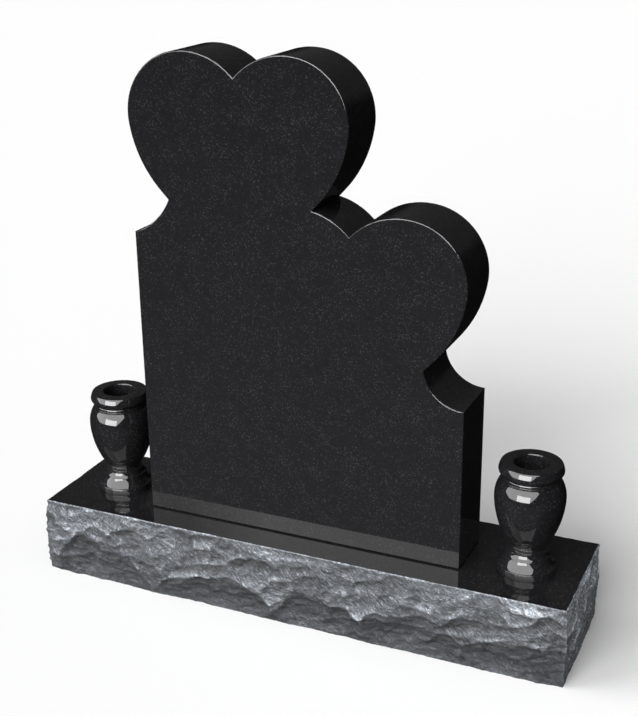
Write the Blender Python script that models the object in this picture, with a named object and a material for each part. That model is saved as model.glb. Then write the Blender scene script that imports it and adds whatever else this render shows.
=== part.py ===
# Heart headstone in polished black granite: a rock-pitched base, a tablet cut
# to two stepped hearts, and two turned vases with a drilled bore.
# Metres, +Z up. The origin is the middle of the base's underside, and the
# tablet's inscription face looks along -Y.

from math import atan2, ceil, cos, hypot, pi, radians, sin, sqrt

import bmesh
import bpy
import numpy as np
from mathutils import Vector
from mathutils.geometry import delaunay_2d_cdt

# Touching stones are set this far apart
JOINT = 0.0003

# Tablet: slab with two shoulders, and two equal hearts a step apart
TABLET_WIDTH = 0.642
TABLET_THICKNESS = 0.124
TABLET_FORWARD = 0.005
LEFT_SHOULDER_HEIGHT = 0.568
RIGHT_SHOULDER_HEIGHT = 0.310
CLEFT_ABOVE_SHOULDER = 0.290
LEFT_COVE_RADIUS = 0.1225
LEFT_COVE_OUTSET = 0.037
RIGHT_COVE_RADIUS = 0.076
ARRIS = 0.002
OUTLINE_TURN = radians(6)

# Base: polished top with a bay for a vase on each side of the tablet
VASE_BAY = 0.2125
BASE_WIDTH = TABLET_WIDTH + 2 * VASE_BAY
BASE_DEPTH = 0.254
BASE_HEIGHT = 0.1525

# Rock pitching: the sides swell out below the top's edge, under shell-shaped breaks struck
# from above (a broad and a small kind) and larger scars struck from below. A break has its
# depth, its mean length and height, how far it leans over as it goes down, and a seed.
# The breaks fade out at the top's edge, and to a share of themselves at the foot and corners.
PITCH_BULGE = 0.015
PITCH_BULGE_DROP = 0.095
PITCH_FOOT_BULGE = 0.006
BROAD_BREAKS = {"depth": 0.012, "length": 0.130, "height": 0.075, "lean": 0.5, "seed": 21}
SMALL_BREAKS = {"depth": 0.007, "length": 0.050, "height": 0.028, "lean": 0.6, "seed": 5}
SCAR_BREAKS = {"depth": 0.006, "length": 0.090, "height": 0.050, "lean": -0.3, "seed": 41}
SCAR_SPACING = 0.125
SCAR_DEPTH = 0.016
SCAR_UNDERCUT = 0.003
SCAR_HALF_WIDTH = (0.075, 0.130)
SCAR_HEIGHT = (0.050, 0.108)
SCAR_SEED = 12
WARPS = ((0.026, 0.020, 0.050, 3), (0.010, 0.008, 0.016, 4))
PITCH_TOP_BAND = 0.015
PITCH_FOOT_BAND = 0.030
FOOT_SHARE = 0.15
CORNER_SHARE = 0.5
PITCH_STEP = 0.018
PITCH_ROWS = 10
CORNER_REACH = 0.045
SIDE_STRENGTH = {"left": 0.5, "front": 1.0, "right": 0.5, "back": 0.4}

# Half a heart, from the cleft outwards: a first heading, then three tangent arcs as
# (radius, turn). The radii are shares of the heart's half width.
HEART_WIDTH = TABLET_WIDTH * 2 / 3
HEART_HEADING = radians(47.15)
HEART_ARCS = ((0.611, radians(60.2)), (0.535, radians(85.2)), (1.012, radians(35.3)))

# Vases: turned round a vertical axis in the middle of each bay, save for a small offset.
# The sizes run from the rim down.
LEFT_VASE_OFFSET = (0.0042, -0.0030)
RIGHT_VASE_OFFSET = (0.0033, -0.0100)
VASE_HEIGHT = 0.212
BORE_RADIUS = 0.0315
BORE_DEPTH = 0.140
LIP_RADIUS = 0.0025
RIM_RADIUS = 0.058
RIM_ROLL_WIDTH = 0.0095
RIM_ROLL_HEIGHT = 0.024
NECK_RADIUS = 0.0515
NECK_DROP = 0.0265
COLLAR_RADIUS = 0.0545
COLLAR_DROP = 0.0295
COLLAR_HEIGHT = 0.0020
BELLY_RADIUS = 0.0638
BELLY_HEIGHT = 0.147
WAIST_RADIUS = 0.0330
WAIST_HEIGHT = 0.0555
BEAD_PROUD = 0.0018
BEAD_HEIGHT = 0.0045
FOOT_FILLET_RADIUS = 0.0355
FOOT_FILLET_HEIGHT = 0.0455
FOOT_FILLET_BAND = 0.0015
FOOT_STEP_RADIUS = 0.0475
FOOT_STEP_HEIGHT = 0.0295
FOOT_RADIUS = 0.0543
FOOT_WALL = 0.0125
VASE_SIDES = 28


def clear_scene():
    for item in list(bpy.data.objects):
        bpy.data.objects.remove(item, do_unlink=True)


def granite(name, colour, roughness):
    material = bpy.data.materials.new(name)
    material.use_nodes = True
    shader = material.node_tree.nodes["Principled BSDF"]
    shader.inputs["Base Color"].default_value = (*colour, 1)
    shader.inputs["Roughness"].default_value = roughness
    shader.inputs["Metallic"].default_value = 0
    return material


def add_object(name, bm, material, smooth_angle=None):
    bmesh.ops.recalc_face_normals(bm, faces=bm.faces)
    mesh = bpy.data.meshes.new(name)
    bm.to_mesh(mesh)
    bm.free()
    mesh.materials.append(material)
    if smooth_angle:
        mesh.shade_smooth()
        mesh.set_sharp_from_angle(angle=smooth_angle)
    item = bpy.data.objects.new(name, mesh)
    bpy.context.scene.collection.objects.link(item)
    return item


# Base

def smooth_noise(x, y, seed):
    # Values from 0 to 1 on a grid of one unit, eased from one grid point to the next
    table = np.random.RandomState(seed).rand(64, 64)
    column = np.floor(x).astype(int)
    row = np.floor(y).astype(int)
    ease_x = (x - column) ** 2 * (3 - 2 * (x - column))
    ease_y = (y - row) ** 2 * (3 - 2 * (y - row))
    value = 0
    for i, share_x in ((0, 1 - ease_x), (1, ease_x)):
        for j, share_y in ((0, 1 - ease_y), (1, ease_y)):
            value = value + share_x * share_y * table[(column + i) % 64, (row + j) % 64]
    return value


def warped(along, down):
    # Natural rock breaks along no straight line, so places are shifted before a break is read
    shift_along = 0
    shift_down = 0
    for reach_along, reach_down, size, seed in WARPS:
        shift_along = shift_along + reach_along * (smooth_noise(along / size, down / size, seed) - 0.5)
        shift_down = shift_down + reach_down * (smooth_noise(along / size, down / size, seed + 5) - 0.5)
    return along + shift_along, down + shift_down


def shell_breaks(along, down, kind):
    # Shallow bowls, each with its own width, height and depth, in jittered cells. The
    # deepest bowl wins everywhere, so neighbours meet in curved ridges.
    table = np.random.RandomState(kind["seed"]).rand(64, 64, 5)
    x = (along + kind["lean"] * down) / kind["length"]
    y = down / kind["height"]
    column = np.floor(x).astype(int)
    row = np.floor(y).astype(int)
    lowest = np.full(x.shape, np.inf)
    for i in (-1, 0, 1):
        for j in (-1, 0, 1):
            chance = table[(column + i) % 64, (row + j) % 64]
            gap_x = (x - (column + i + chance[..., 0])) / (0.8 + 0.7 * chance[..., 3])
            gap_y = (y - (row + j + chance[..., 1])) / (0.75 + 0.5 * chance[..., 4])
            bowl = gap_x * gap_x + gap_y * gap_y + 0.5 * chance[..., 2]
            lowest = np.minimum(lowest, bowl)
    return kind["depth"] * (np.clip(lowest, 0, 1.2) - 0.45)


def scars_from_below(along, down):
    # Each scar is a hollow that leans back towards the underside, below an arch
    table = np.random.RandomState(SCAR_SEED).rand(64, 3)
    height = BASE_HEIGHT - down
    column = np.floor(along / SCAR_SPACING).astype(int)
    lowest = np.full(along.shape, np.inf)
    for i in (-2, -1, 0, 1, 2):
        chance = table[(column + i) % 64]
        middle = (column + i + 0.15 + 0.7 * chance[..., 0]) * SCAR_SPACING
        half_width = SCAR_HALF_WIDTH[0] + (SCAR_HALF_WIDTH[1] - SCAR_HALF_WIDTH[0]) * chance[..., 1]
        top = SCAR_HEIGHT[0] + (SCAR_HEIGHT[1] - SCAR_HEIGHT[0]) * chance[..., 2]
        arch = height / top + ((along - middle) / half_width) ** 2
        lowest = np.minimum(lowest, SCAR_DEPTH * arch - SCAR_UNDERCUT)
    return lowest


def pitched_relief(along, down, strength, corner_gap):
    # How far the rock stands out from the nominal side: nothing along the top's edge, and
    # a steady little along the underside's edge
    at, below = warped(along, down)
    turn = np.clip(down / PITCH_BULGE_DROP, 0, 1.3)
    rock = PITCH_BULGE * np.sin(pi / 2 * turn) + shell_breaks(at, below, BROAD_BREAKS)
    rock = np.minimum(rock, scars_from_below(at, below) + shell_breaks(at, below, SCAR_BREAKS))
    rock = rock + shell_breaks(at, below, SMALL_BREAKS)
    near_top = np.clip(down / PITCH_TOP_BAND, 0, 1)
    near_foot = np.clip((BASE_HEIGHT - down) / PITCH_FOOT_BAND, 0, 1)
    free = near_top * (FOOT_SHARE + (1 - FOOT_SHARE) * near_foot)
    foot = PITCH_FOOT_BULGE * down / BASE_HEIGHT * (1 - near_foot)
    inner = np.clip(corner_gap / CORNER_REACH, 0, 1)
    return (rock * free + foot) * strength * (CORNER_SHARE + (1 - CORNER_SHARE) * inner)


def base_columns():
    # Points along the top's edge, seen from above anticlockwise from the back left corner:
    # nominal place, direction in which the rock stands out, distance run and side strength
    half_x = BASE_WIDTH / 2
    half_y = BASE_DEPTH / 2
    corners = [(-half_x, half_y), (-half_x, -half_y), (half_x, -half_y), (half_x, half_y)]
    outwards = [(-1, 0), (0, -1), (1, 0), (0, 1)]
    strengths = [SIDE_STRENGTH[side] for side in ("left", "front", "right", "back")]
    columns = []
    run = 0.0
    for k in range(4):
        x0, y0 = corners[k]
        x1, y1 = corners[(k + 1) % 4]
        length = abs(x1 - x0) + abs(y1 - y0)
        steps = max(2, ceil(length / PITCH_STEP))
        for i in range(steps):
            t = i / steps
            out_x, out_y = outwards[k]
            strength = strengths[k]
            if i == 0:
                before_x, before_y = outwards[k - 1]
                out_x += before_x
                out_y += before_y
                strength = (strength + strengths[k - 1]) / 2
            gap = min(t, 1 - t) * length
            columns.append((x0 + t * (x1 - x0), y0 + t * (y1 - y0), out_x, out_y,
                            run + t * length, strength, gap))
        run += length
    return columns


def make_base(material):
    columns = np.array(base_columns())
    x, y, out_x, out_y, along, strength, gap = columns.T
    bm = bmesh.new()
    rings = []
    for row in range(PITCH_ROWS + 1):
        share = row / PITCH_ROWS
        depth = BASE_HEIGHT * (0.75 * share + 0.25 * share * share)
        rock = pitched_relief(along, np.full(along.shape, depth), strength, gap)
        ring = [bm.verts.new((px, py, BASE_HEIGHT - depth))
                for px, py in zip(x + out_x * rock, y + out_y * rock)]
        rings.append(ring)
    count = len(columns)
    for upper, lower in zip(rings, rings[1:]):
        for i in range(count):
            j = (i + 1) % count
            bm.faces.new((upper[i], upper[j], lower[j], lower[i]))
    bm.faces.new(rings[0])
    bm.faces.new(rings[-1])
    return add_object("base", bm, material)


# Tablet

def arc(centre, radius, start, turn, step=OUTLINE_TURN):
    steps = max(2, ceil(abs(turn) / step))
    return [(centre[0] + radius * cos(start + turn * i / steps),
             centre[1] + radius * sin(start + turn * i / steps)) for i in range(steps + 1)]


def half_heart():
    # From the cleft at (0, 0) over the right lobe and down the flank to the point
    points = [(0.0, 0.0)]
    heading = HEART_HEADING
    for radius, turn in HEART_ARCS:
        x, y = points[-1]
        centre = (x + radius * sin(heading), y - radius * cos(heading))
        start = atan2(y - centre[1], x - centre[0])
        points += arc(centre, radius, start, -turn)[1:]
        heading -= turn
    x, y = points[-1]
    points.append((0.0, y - x * sin(heading) / cos(heading)))
    scale = HEART_WIDTH / 2 / max(p[0] for p in points)
    return [(px * scale, py * scale) for px, py in points]


def heart_outline(middle, cleft):
    right = half_heart()
    left = [(-px, py) for px, py in right[1:-1]]
    return [(middle + px, cleft + py) for px, py in right + left[::-1]]


def slab_outline():
    # The slab ends inside the hearts: each cove runs on past the notch where it meets them
    side = TABLET_WIDTH / 2
    right_top = RIGHT_SHOULDER_HEIGHT + RIGHT_COVE_RADIUS
    right_cove = arc((side, right_top), RIGHT_COVE_RADIUS, -pi / 2, -pi / 2)
    rise = sqrt(LEFT_COVE_RADIUS ** 2 - LEFT_COVE_OUTSET ** 2)
    left_centre = (-side - LEFT_COVE_OUTSET, LEFT_SHOULDER_HEIGHT + rise)
    left_start = atan2(-rise, LEFT_COVE_OUTSET)
    left_cove = arc(left_centre, LEFT_COVE_RADIUS, left_start, radians(-16) - left_start)
    left_top = left_cove[-1][1]
    outline = [(-side, 0.0), (side, 0.0)] + right_cove
    outline += [(0.0, right_top), (0.0, left_top)] + left_cove[::-1]
    return outline


def united_outline(shapes):
    # Outer edge of all shapes together, anticlockwise: a triangulation of every shape
    # has its outer edges on one triangle only
    points = [Vector(p) for shape in shapes for p in shape]
    faces = []
    first = 0
    for shape in shapes:
        faces.append(list(range(first, first + len(shape))))
        first += len(shape)
    verts, _, triangles, _, _, _ = delaunay_2d_cdt(points, [], faces, 1, 1e-6)
    following = {}
    edges = {(tri[k], tri[(k + 1) % len(tri)]) for tri in triangles for k in range(len(tri))}
    for a, b in edges:
        if (b, a) not in edges:
            following[a] = b
    start = min(following, key=lambda v: (verts[v].y, verts[v].x))
    loop = [start]
    while following[loop[-1]] != start:
        loop.append(following[loop[-1]])
    return [(verts[v].x, verts[v].y) for v in loop]


def without_short_steps(outline, shortest=0.0005):
    # Where two shapes cross next to a point of one of them, only one point is kept
    kept = []
    for point in outline:
        if not kept or hypot(point[0] - kept[-1][0], point[1] - kept[-1][1]) > shortest:
            kept.append(point)
    return kept


def tablet_outline():
    heart_shift = (TABLET_WIDTH - HEART_WIDTH) / 2
    shapes = [
        slab_outline(),
        heart_outline(-heart_shift, LEFT_SHOULDER_HEIGHT + CLEFT_ABOVE_SHOULDER),
        heart_outline(heart_shift, RIGHT_SHOULDER_HEIGHT + CLEFT_ABOVE_SHOULDER),
    ]
    return without_short_steps(united_outline(shapes))


def make_tablet(material):
    foot = BASE_HEIGHT + JOINT
    front = -TABLET_FORWARD - TABLET_THICKNESS / 2
    bm = bmesh.new()
    face = bm.faces.new([bm.verts.new((x, front, foot + z)) for x, z in tablet_outline()])
    made = bmesh.ops.extrude_face_region(bm, geom=[face])
    moved = [item for item in made["geom"] if isinstance(item, bmesh.types.BMVert)]
    bmesh.ops.translate(bm, verts=moved, vec=(0, TABLET_THICKNESS, 0))
    bmesh.ops.recalc_face_normals(bm, faces=bm.faces)
    rims = [edge for edge in bm.edges
            if abs(edge.verts[0].co.y - edge.verts[1].co.y) < TABLET_THICKNESS / 2]
    bmesh.ops.bevel(bm, geom=rims, offset=ARRIS, offset_type="WIDTH", segments=1,
                    affect="EDGES", clamp_overlap=True)
    bmesh.ops.remove_doubles(bm, verts=bm.verts, dist=0.00001)
    return add_object("tablet", bm, material, radians(25))


# Vases

def ellipse_arc(centre, half_width, half_height, start, end, steps):
    # Quarter-style arc of a turned moulding, as (radius, height) points
    return [(centre[0] + half_width * cos(start + (end - start) * i / steps),
             centre[1] + half_height * sin(start + (end - start) * i / steps))
            for i in range(steps + 1)]


def belly_half_height(radius, height):
    # Half height of the ellipse that is BELLY_RADIUS wide at BELLY_HEIGHT and passes
    # through this radius and height
    return abs(height - BELLY_HEIGHT) / sqrt(1 - (radius / BELLY_RADIUS) ** 2)


def vase_profile():
    # Outer side from the rim down to the foot, as (radius, height above the foot)
    top = VASE_HEIGHT
    roll_mid = top - RIM_ROLL_HEIGHT * 0.68
    roll_centre = (RIM_RADIUS - RIM_ROLL_WIDTH, roll_mid)
    rim = ellipse_arc(roll_centre, RIM_ROLL_WIDTH, top - roll_mid, pi / 2, 0, 5)
    under = ellipse_arc(roll_centre, RIM_ROLL_WIDTH, RIM_ROLL_HEIGHT - (top - roll_mid), 0, -pi / 2, 3)
    neck = [(NECK_RADIUS, top - RIM_ROLL_HEIGHT), (NECK_RADIUS, top - NECK_DROP)]
    collar = [(COLLAR_RADIUS, top - COLLAR_DROP), (COLLAR_RADIUS, top - COLLAR_DROP - COLLAR_HEIGHT)]
    shoulder = top - COLLAR_DROP - COLLAR_HEIGHT
    upper = belly_half_height(COLLAR_RADIUS, shoulder)
    lower = belly_half_height(WAIST_RADIUS, WAIST_HEIGHT)
    start = atan2((shoulder - BELLY_HEIGHT) / upper, COLLAR_RADIUS / BELLY_RADIUS)
    end = atan2((WAIST_HEIGHT - BELLY_HEIGHT) / lower, WAIST_RADIUS / BELLY_RADIUS)
    belly = ellipse_arc((0, BELLY_HEIGHT), BELLY_RADIUS, upper, start, 0, 4)
    belly += ellipse_arc((0, BELLY_HEIGHT), BELLY_RADIUS, lower, 0, end, 7)[1:]
    bead = ellipse_arc((WAIST_RADIUS, WAIST_HEIGHT - BEAD_HEIGHT / 2), BEAD_PROUD, BEAD_HEIGHT / 2,
                       pi / 2, -pi / 2, 4)[1:]
    fillet = [(FOOT_FILLET_RADIUS, FOOT_FILLET_HEIGHT)]
    cove_top = FOOT_FILLET_HEIGHT - FOOT_FILLET_BAND
    upper_cove = ellipse_arc((FOOT_STEP_RADIUS, cove_top), FOOT_STEP_RADIUS - FOOT_FILLET_RADIUS,
                             cove_top - FOOT_STEP_HEIGHT, pi, 1.5 * pi, 4)
    step_foot = FOOT_STEP_HEIGHT - FOOT_FILLET_BAND
    lower_cove = ellipse_arc((FOOT_RADIUS, step_foot), FOOT_RADIUS - FOOT_STEP_RADIUS,
                             step_foot - FOOT_WALL, pi, 1.5 * pi, 4)
    foot = fillet + upper_cove + lower_cove + [(FOOT_RADIUS, 0.0)]
    return rim + under + neck + collar + belly[1:] + bead + foot


def bore_profile():
    # From the rim's flat top over the rounded lip to the bore's flat bottom
    lip = ellipse_arc((BORE_RADIUS + LIP_RADIUS, VASE_HEIGHT - LIP_RADIUS), LIP_RADIUS, LIP_RADIUS,
                      pi, pi / 2, 2)
    return [(0.0, VASE_HEIGHT - BORE_DEPTH), (BORE_RADIUS, VASE_HEIGHT - BORE_DEPTH)] + lip


def make_vase(name, side, offset, material):
    bay_middle = side * (TABLET_WIDTH + VASE_BAY) / 2
    centre = Vector((bay_middle + offset[0], offset[1], BASE_HEIGHT + JOINT))
    profile = bore_profile() + vase_profile() + [(0.0, 0.0)]
    bm = bmesh.new()
    chain = [bm.verts.new(centre + Vector((radius, 0, height))) for radius, height in profile]
    edges = [bm.edges.new(pair) for pair in zip(chain, chain[1:])]
    bmesh.ops.spin(bm, geom=chain + edges, cent=centre, axis=(0, 0, 1), dvec=(0, 0, 0),
                   angle=2 * pi, steps=VASE_SIDES, use_merge=False, use_duplicate=False)
    bmesh.ops.remove_doubles(bm, verts=bm.verts, dist=0.00005)
    return add_object(name, bm, material, radians(32))


clear_scene()
rock = granite("rock_pitched_granite", (0.085, 0.09, 0.095), 0.75)
polished = granite("polished_granite", (0.012, 0.012, 0.013), 0.12)
turned = granite("turned_granite", (0.014, 0.014, 0.015), 0.15)
make_base(rock)
make_tablet(polished)
make_vase("vase_left", -1, LEFT_VASE_OFFSET, turned)
make_vase("vase_right", 1, RIGHT_VASE_OFFSET, turned)
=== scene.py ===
from math import atan2, ceil, cos, degrees, pi, radians, sin, sqrt, tan

import bpy
import numpy as np
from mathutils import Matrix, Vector


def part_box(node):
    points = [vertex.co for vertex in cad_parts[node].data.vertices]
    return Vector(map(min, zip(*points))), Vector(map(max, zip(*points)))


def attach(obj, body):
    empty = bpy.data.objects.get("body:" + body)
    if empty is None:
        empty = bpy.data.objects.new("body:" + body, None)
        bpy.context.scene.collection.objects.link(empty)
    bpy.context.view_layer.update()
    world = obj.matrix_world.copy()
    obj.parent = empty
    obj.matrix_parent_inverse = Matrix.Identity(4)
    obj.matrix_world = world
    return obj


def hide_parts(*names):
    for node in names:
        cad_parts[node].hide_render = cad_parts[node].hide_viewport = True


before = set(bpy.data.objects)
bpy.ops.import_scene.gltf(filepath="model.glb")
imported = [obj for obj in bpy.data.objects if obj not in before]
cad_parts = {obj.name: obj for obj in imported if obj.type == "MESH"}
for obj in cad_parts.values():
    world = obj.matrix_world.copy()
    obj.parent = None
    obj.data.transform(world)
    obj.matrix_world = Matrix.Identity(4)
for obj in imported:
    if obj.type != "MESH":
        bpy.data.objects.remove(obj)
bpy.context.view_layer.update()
baseLow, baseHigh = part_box("base")
tabletLow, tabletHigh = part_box("tablet")
print("frame loaded:", ", ".join(sorted(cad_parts)))


# Camera at the photo's viewpoint
cameraView = {
    "place": (0.9152, -1.9940, 1.3312),
    "turn": (69.092, 0.636, 23.979),  # degrees, as Blender shows them
    "lens": 63.58,                    # millimetres on a 36 mm long side
}


def addCamera():
    bpy.ops.object.camera_add(location=cameraView["place"],
                              rotation=[radians(angle) for angle in cameraView["turn"]])
    camera = bpy.context.object
    camera.name = "photoCamera"
    camera.data.sensor_fit = "AUTO"
    camera.data.sensor_width = 36
    camera.data.lens = cameraView["lens"]
    bpy.context.scene.camera = camera


# Small helpers for node trees and for finished pieces
def addNode(tree, kind, inputs=None, **settings):
    node = tree.nodes.new(kind)
    for name, value in settings.items():
        setattr(node, name, value)
    for name, value in (inputs or {}).items():
        socket = node.inputs[name]
        if isinstance(value, bpy.types.NodeSocket):
            tree.links.new(value, socket)
        else:
            socket.default_value = value
    return node


def addMath(tree, operation, first, second=0.0, third=0.0, clamp=False):
    node = addNode(tree, "ShaderNodeMath", {0: first, 1: second, 2: third}, operation=operation)
    node.use_clamp = clamp
    return node.outputs[0]


def addRange(tree, value, fromLow, fromHigh, toLow=0.0, toHigh=1.0, smooth=False):
    node = addNode(tree, "ShaderNodeMapRange",
                   {"Value": value, "From Min": fromLow, "From Max": fromHigh,
                    "To Min": toLow, "To Max": toHigh})
    node.interpolation_type = "SMOOTHSTEP" if smooth else "LINEAR"
    return node.outputs["Result"]


def addMix(tree, factor, first, second):
    node = addNode(tree, "ShaderNodeMix", data_type="RGBA")
    for index, value in ((0, factor), (6, first), (7, second)):
        if isinstance(value, bpy.types.NodeSocket):
            tree.links.new(value, node.inputs[index])
        else:
            node.inputs[index].default_value = value
    return node.outputs[2]


def newGroup(name, inputs, outputs):
    group = bpy.data.node_groups.new(name, "ShaderNodeTree")
    for label, kind, value in inputs:
        socket = group.interface.new_socket(name=label, in_out="INPUT", socket_type="NodeSocket" + kind)
        socket.default_value = value
    for label, kind in outputs:
        group.interface.new_socket(name=label, in_out="OUTPUT", socket_type="NodeSocket" + kind)
    entry = group.nodes.new("NodeGroupInput").outputs
    leave = group.nodes.new("NodeGroupOutput").inputs
    return group, entry, leave


def selectOnly(piece):
    if bpy.context.object and bpy.context.object.mode != "OBJECT":
        bpy.ops.object.mode_set(mode="OBJECT")
    bpy.ops.object.select_all(action="DESELECT")
    piece.select_set(True)
    bpy.context.view_layer.objects.active = piece


def fixPlace(piece):
    # Place, turn and scale go into the mesh, so that the object sits at the origin
    selectOnly(piece)
    bpy.ops.object.transform_apply(location=True, rotation=True, scale=True)


def setPoints(piece, points):
    piece.data.vertices.foreach_set("co", np.asarray(points, np.float32).ravel())
    piece.data.update()


def selectEdges(piece, wanted):
    # Leaves the piece in edit mode with just the wanted edges selected
    selectOnly(piece)
    bpy.ops.object.mode_set(mode="EDIT")
    bpy.ops.mesh.select_mode(type="EDGE")
    bpy.ops.mesh.select_all(action="DESELECT")
    bpy.ops.object.mode_set(mode="OBJECT")
    for edge in piece.data.edges:
        edge.select = wanted(edge)
    bpy.ops.object.mode_set(mode="EDIT")


def applyModifier(piece, kind, **settings):
    selectOnly(piece)
    modifier = piece.modifiers.new(kind.title(), kind)
    for name, value in settings.items():
        setattr(modifier, name, value)
    bpy.ops.object.modifier_apply(modifier=modifier.name)


def standFor(piece, node):
    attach(piece, "root")
    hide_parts(node)


# Granite: interlocked crystals with pale flecks, over a slow mottle
grainShape = {
    "dustScale": 2.3,           # of the crystals' own
    "dustShare": 0.35,
    "crystalShare": 0.65,
    "mottleScale": 38.0,
    "dimmestFleck": 0.25,
}


def graniteGrainGroup():
    group, entry, leave = newGroup(
        "graniteGrain",
        [("Crystal Size", "Float", 0.0016), ("Ground", "Color", (0.02, 0.02, 0.02, 1)),
         ("Dark", "Color", (0.01, 0.01, 0.01, 1)), ("Pale", "Color", (0.05, 0.05, 0.05, 1)),
         ("Pale Share", "Float", 0.1), ("Mottle", "Float", 0.3)],
        [("Color", "Color"), ("Crystal", "Float")])
    place = addNode(group, "ShaderNodeTexCoord").outputs["Object"]
    scale = addMath(group, "DIVIDE", 1.0, entry["Crystal Size"])
    crystals = addNode(group, "ShaderNodeTexVoronoi", {"Vector": place, "Scale": scale, "Randomness": 1.0})
    chance = addNode(group, "ShaderNodeSeparateColor", {"Color": crystals.outputs["Color"]})
    smallScale = addMath(group, "MULTIPLY", scale, grainShape["dustScale"])
    dust = addNode(group, "ShaderNodeTexVoronoi", {"Vector": place, "Scale": smallScale})
    dustChance = addNode(group, "ShaderNodeSeparateColor", {"Color": dust.outputs["Color"]})
    slow = addNode(group, "ShaderNodeTexNoise",
                   {"Vector": place, "Scale": grainShape["mottleScale"], "Detail": 3.0,
                    "Roughness": 0.6}).outputs["Fac"]
    slowPart = addMath(group, "MULTIPLY", addMath(group, "SUBTRACT", slow, 0.5), entry["Mottle"])
    mixed = addMath(group, "MULTIPLY_ADD", dustChance.outputs["Green"], grainShape["dustShare"],
                    addMath(group, "MULTIPLY", chance.outputs["Red"], grainShape["crystalShare"]))
    tone = addMath(group, "ADD", mixed, slowPart, clamp=True)
    ground = addMix(group, tone, entry["Dark"], entry["Ground"])
    edge = addMath(group, "SUBTRACT", 1.0, entry["Pale Share"])
    fleck = addMath(group, "GREATER_THAN", addMath(group, "ADD", chance.outputs["Green"], slowPart), edge)
    glint = addRange(group, dustChance.outputs["Red"], 0.0, 1.0, grainShape["dimmestFleck"], 1.0)
    strength = addMath(group, "MULTIPLY", fleck, glint)
    colour = addMix(group, strength, ground, entry["Pale"])
    group.links.new(colour, leave["Color"])
    group.links.new(mixed, leave["Crystal"])
    return group


def newMaterial(name):
    material = bpy.data.materials.new(name)
    material.use_nodes = True
    shader = material.node_tree.nodes["Principled BSDF"]
    return material, material.node_tree, shader


def placeGrain(tree, grain, look):
    stone = addNode(tree, "ShaderNodeGroup", node_tree=grain)
    for label, key in (("Crystal Size", "crystalSize"), ("Ground", "ground"), ("Dark", "dark"),
                       ("Pale", "pale"), ("Pale Share", "paleShare"), ("Mottle", "mottle")):
        stone.inputs[label].default_value = look[key]
    return stone


polishLook = {
    "crystalSize": 0.0017,
    "ground": (0.0134, 0.0128, 0.0141, 1),
    "dark": (0.0066, 0.0063, 0.0070, 1),
    "pale": (0.040, 0.039, 0.041, 1),
    "paleShare": 0.07,
    "mottle": 0.35,
    "roughness": 0.03,
    "mirror": 1.52,             # index of refraction
}


def polishedGranite(grain):
    material, tree, shader = newMaterial("polishedGranite")
    stone = placeGrain(tree, grain, polishLook)
    tree.links.new(stone.outputs["Color"], shader.inputs["Base Color"])
    shader.inputs["Roughness"].default_value = polishLook["roughness"]
    shader.inputs["IOR"].default_value = polishLook["mirror"]
    return material


rockLook = {
    "crystalSize": 0.0021,
    "ground": (0.070, 0.0750, 0.0820, 1),
    "dark": (0.039, 0.0418, 0.0456, 1),
    "pale": (0.150, 0.160, 0.174, 1),
    "paleShare": 0.04,
    "mottle": 0.3,
    "streakTurns": (8, 38),     # degrees down from level, as the break runs
    "streakSize": (0.0150, 0.0040),
    "wanderScale": 70.0,
    "wander": 0.006,
    "patchScale": 18.0,         # patches that follow the first or the second turn
    "patchEdge": (0.42, 0.58),
    "fibre": 2.9,
    "contrast": 5.0,            # how much lighter one step of tone is
    "bumpDepth": 0.0040,
    "bumpStrength": 0.9,
    "roughness": 0.72,
    "roughnessSpread": 0.12,
}


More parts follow.
